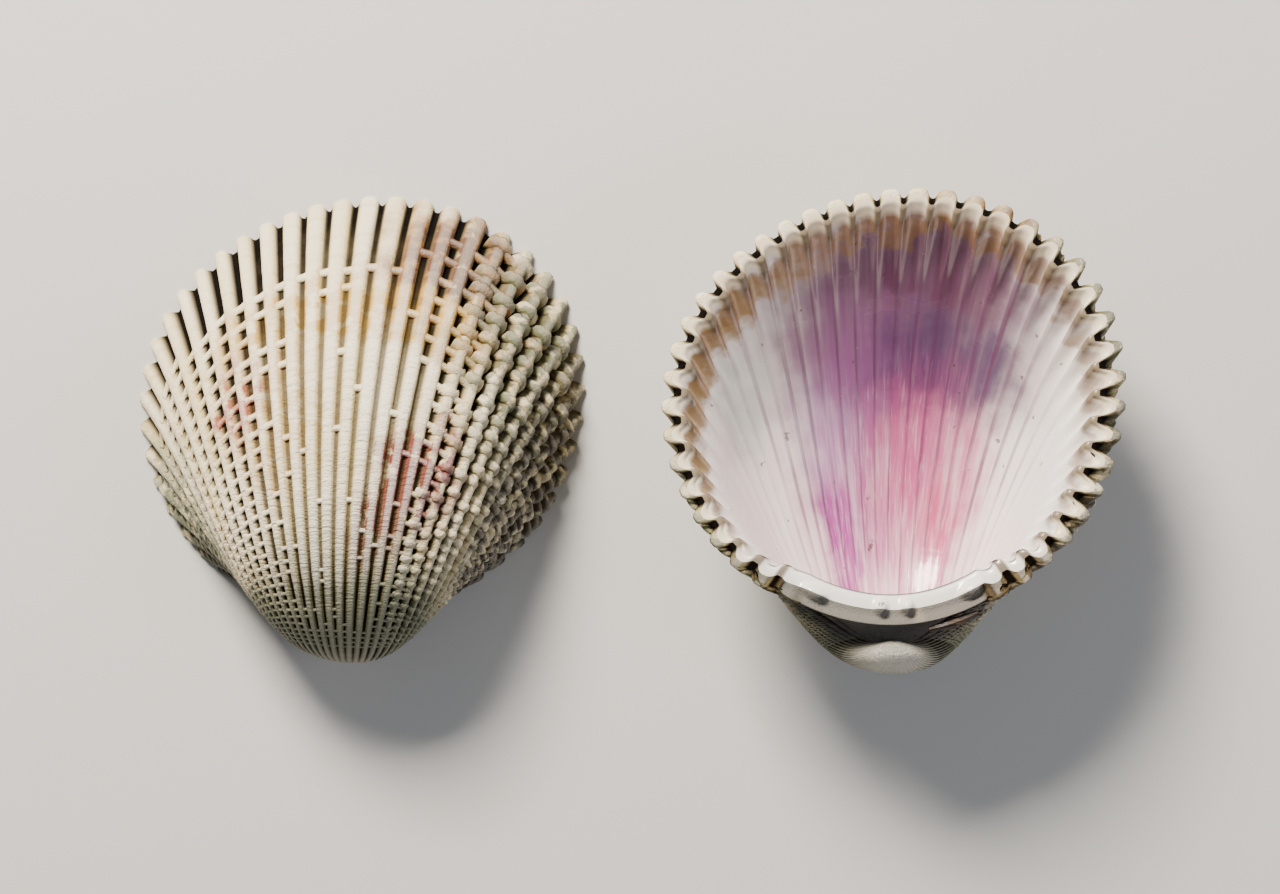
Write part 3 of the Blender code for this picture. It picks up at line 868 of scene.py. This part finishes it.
def matt_paper():
    """Matt pale paper: a plain floor with the faintest tooth."""
    material, tree, shader = new_material("Matt pale paper")
    place = node(tree, "ShaderNodeTexCoord").outputs["Object"]
    # The tooth is drawn about a millimetre wide, because a real one is too fine to show.
    tooth = node(tree, "ShaderNodeTexNoise", {"Vector": place, "Scale": 900, "Detail": 3.0})
    shader.inputs["Base Color"].default_value = linear("#cfcdc9")
    shader.inputs["Roughness"].default_value = 0.9
    bump = node(tree, "ShaderNodeBump", {"Strength": 0.15, "Distance": 0.05 * MM, "Height": tooth})
    plug(tree, shader.inputs["Normal"], bump)
    return material


def area_light(name, place, size, power, hex_colour):
    """A square lamp at a place, turned to the middle of the floor."""
    light = bpy.data.lights.new(name, "AREA")
    light.size = size
    light.energy = power
    light.color = linear(hex_colour)[:3]
    lamp = bpy.data.objects.new(name, light)
    lamp.location = place
    lamp.rotation_euler = (-Vector(place)).to_track_quat("-Z", "Y").to_euler()
    bpy.context.scene.collection.objects.link(lamp)


def studio():
    """A pale floor, a soft key light behind on the left, a weak fill on the right and a dim surround."""
    far = 3
    floor_mesh = bpy.data.meshes.new("floor")
    floor_mesh.from_pydata([(-far, -far, 0), (far, -far, 0), (far, far, 0), (-far, far, 0)], [],
                           [(0, 1, 2, 3)])
    floor_mesh.materials.append(matt_paper())
    floor = bpy.data.objects.new("floor", floor_mesh)
    bpy.context.scene.collection.objects.link(floor)
    area_light("key", (-0.18, 0.40, 0.34), size=0.18, power=10.5, hex_colour="#fff6ea")
    area_light("fill", (0.42, -0.12, 0.34), size=0.3, power=0.9, hex_colour="#eef3ff")
    world = bpy.data.worlds.new("studio")
    world.use_nodes = True
    background = world.node_tree.nodes["Background"]
    background.inputs["Color"].default_value = linear("#e8ecf2")
    background.inputs["Strength"].default_value = 0.22
    bpy.context.scene.world = world


def camera():
    """A camera straight above the shell."""
    data = bpy.data.cameras.new("camera")
    data.lens = 95
    eye = bpy.data.objects.new("camera", data)
    eye.location = (2.5 * MM, -1.9 * MM, 380 * MM)
    bpy.context.scene.collection.objects.link(eye)
    bpy.context.scene.camera = eye


outside = shell_outside()
inside = shell_inside()
coil = coil_group()

# Bridges cross the grooves from crest to crest and leave pits between them. Chevrons are bowed over the
# ribs near the hinge at the front, and hoods stand up as nodules on the coarse ribs at the rear.
bridge = scale_shape("bridge", groove_section, lambda x: 0.80 + 0.06 * (2 * x) ** 2,
                     lambda x: 0.32 + 0.40 * (2 * x) ** 2, lean=0.0, bow=0.0)
chevron = scale_shape("chevron", rib_section, lambda x: 1.32 - 0.55 * (2 * x) ** 2,
                      lambda x: 0.36, lean=0.25, bow=0.4)
hood = scale_shape("hood", rib_section, lambda x: 1.50 - 0.80 * abs(2 * x) ** 1.8,
                   lambda x: 0.50 - 0.14 * (2 * x) ** 2, lean=0.35, bow=0.12)
SCALE_KINDS = {
    "bridges": {"Shape": bridge, "From heading": math.radians(-116), "To heading": math.radians(42),
                "Beside": 0.5, "Uneven": 0.10},
    "chevrons": {"Shape": chevron, "From heading": math.radians(-180), "To heading": math.radians(-112),
                 "First step": 0.06},
    "hoods": {"Shape": hood, "From heading": math.radians(36), "To heading": math.radians(180),
              "Growth step": 0.064, "First step": 0.055, "Steps": 27, "Uneven": 0.3},
}

valve_rule = valve_tree(coil, outside, inside)
scale_rule = scale_tree(coil, outside)
for side, placing in (
    ("right", Matrix.Rotation(RIGHT_TURN, 4, "Z")),
    ("left", Matrix.Rotation(-LEFT_LEAN, 4, "X") @ Matrix.Diagonal((1, 1, -1, 1))),
):
    wall = grown(side + "_wall", valve_rule, VALVE)
    pieces = [wall]
    for kind, sizes in SCALE_KINDS.items():
        pieces.append(grown(f"{side}_{kind}", scale_rule, {**SCALES, **sizes}))
    lay(pieces, side + "_valve", placing)
    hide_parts(side + "_valve")
    for piece in pieces:
        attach(piece, "root")
for shape in (bridge, chevron, hood):
    bpy.data.objects.remove(shape)

# The ligament's solid has the right shape, and gets its finish.
for holder in bpy.data.objects["ligament"].material_slots:
    holder.material = dried_ligament()

studio()
camera()
